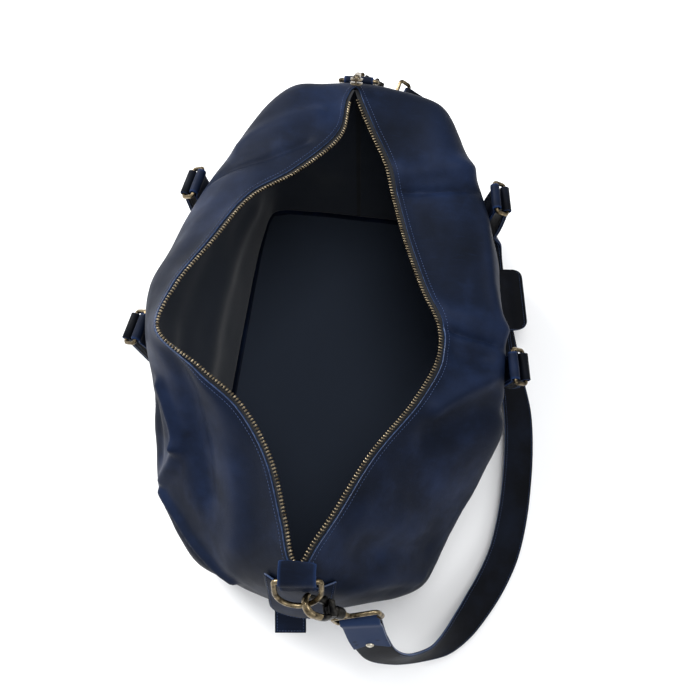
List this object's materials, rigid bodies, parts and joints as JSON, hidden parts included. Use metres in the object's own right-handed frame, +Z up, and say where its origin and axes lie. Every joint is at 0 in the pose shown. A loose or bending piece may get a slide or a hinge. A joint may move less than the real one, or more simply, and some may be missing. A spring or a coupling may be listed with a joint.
{
  "type": "travel holdall",
  "caption": "Soft leather travel bag standing open, with a metal zip, two hinged carrying handles and a clip-on shoulder strap.",
  "frame": {"origin": "middle of the flat underside of the base", "axes": "+Z up out of the mouth, +Y along the zip towards the slider end, +X towards the side where the shoulder strap lies"},
  "size_m": [0.5353, 0.7449, 0.3095],
  "materials": {
    "navy_leather": "pull-up aniline leather, waxed",
    "strap_leather": "smooth waxed strap leather",
    "lining_cloth": "dark cotton twill",
    "stiffener_board": "matt board",
    "zip_tape": "woven tape",
    "zip_brass": "antique polished",
    "antique_brass": "antique",
    "dark_metal": "blackened"
  },
  "bodies": {
    "bag": {"left_side_panel": "navy_leather", "right_side_panel": "navy_leather", "base_panel": "navy_leather", "base_board": "stiffener_board", "lining_floor": "lining_cloth", "lining_wall": "lining_cloth", "zip_tape_left": "zip_tape", "zip_teeth_left": "zip_brass", "zip_tape_right": "zip_tape", "zip_teeth_right": "zip_brass", "left_rear_chape": "navy_leather", "left_rear_chape_rivet": "antique_brass", "left_front_chape": "navy_leather", "left_front_chape_rivet": "antique_brass", "right_rear_chape": "navy_leather", "right_rear_chape_rivet": "antique_brass", "right_front_chape": "navy_leather", "right_front_chape_rivet": "antique_brass", "front_ring_loop": "navy_leather", "front_end_patch": "navy_leather", "rear_ring_loop": "navy_leather", "rear_end_patch": "navy_leather", "front_tab": "navy_leather", "front_strap_loop": "antique_brass", "rear_strap_loop": "antique_brass", "front_strap_rivet": "antique_brass", "rear_strap_rivet": "antique_brass", "shoulder_strap": "strap_leather", "zip_slider": "zip_brass", "zip_front_stop": "zip_brass"},
    "front_ring": {"front_d_ring": "antique_brass"},
    "rear_ring": {"rear_d_ring": "antique_brass"},
    "front_hook": {"front_snap_hook": "dark_metal"},
    "front_gate": {"front_snap_gate": "antique_brass"},
    "rear_hook": {"rear_snap_hook": "dark_metal"},
    "rear_gate": {"rear_snap_gate": "antique_brass"},
    "left_carry_handle": {"left_handle": "strap_leather", "left_front_ring": "antique_brass", "left_rear_ring": "antique_brass", "left_front_handle_rivet": "antique_brass", "left_rear_handle_rivet": "antique_brass"},
    "right_carry_handle": {"right_handle": "strap_leather", "right_front_ring": "antique_brass", "right_rear_ring": "antique_brass", "right_front_handle_rivet": "antique_brass", "right_rear_handle_rivet": "antique_brass", "grip_wrap": "strap_leather"},
    "pull": {"zip_pull": "zip_brass"}
  },
  "joints": [
    {"name": "left_handle_swing", "type": "hinge", "parent": "bag", "child": "left_carry_handle", "pos_m": [-0.223, -0.016, 0.214], "axis": [0.1643, 0.9858, 0.0359], "range_deg": [0, 120]},
    {"name": "right_handle_swing", "type": "hinge", "parent": "bag", "child": "right_carry_handle", "pos_m": [0.208, -0.008, 0.208], "axis": [0.1649, -0.9849, -0.0518], "range_deg": [0, 150]},
    {"name": "front_ring_swing", "type": "hinge", "parent": "bag", "child": "front_ring", "pos_m": [0, -0.269, 0.259], "axis": [0.9925, 0.1219, 0], "range_deg": [-1, 1]},
    {"name": "rear_ring_swing", "type": "hinge", "parent": "bag", "child": "rear_ring", "pos_m": [-0.012, 0.339, 0.232], "axis": [0.9986, 0.0523, 0], "range_deg": [-1, 1]},
    {"name": "front_hook_turn", "type": "hinge", "parent": "bag", "child": "front_hook", "pos_m": [0.0168, -0.2896, 0.2306], "axis": [0.7295, -0.1399, -0.6695], "range_deg": [-2, 2]},
    {"name": "rear_hook_turn", "type": "hinge", "parent": "bag", "child": "rear_hook", "pos_m": [-0.006, 0.36, 0.203], "axis": [0.7789, 0.0999, -0.6191], "range_deg": [-2, 2]},
    {"name": "front_gate_open", "type": "hinge", "parent": "front_hook", "child": "front_gate", "pos_m": [0.03198, -0.28723, 0.21229], "axis": [0.6384, 0.4907, 0.593], "range_deg": [0, 5], "stiffness_Nm_per_rad": 0.05},
    {"name": "rear_gate_open", "type": "hinge", "parent": "rear_hook", "child": "rear_gate", "pos_m": [0.01266, 0.36846, 0.19069], "axis": [0.6166, -0.3018, 0.7271], "range_deg": [0, 5], "stiffness_Nm_per_rad": 0.05},
    {"name": "zip_pull_flip", "type": "hinge", "parent": "bag", "child": "pull", "pos_m": [-0.012, 0.31474, 0.26836], "axis": [1, 0, 0], "range_deg": [0, 160]}
  ]
}
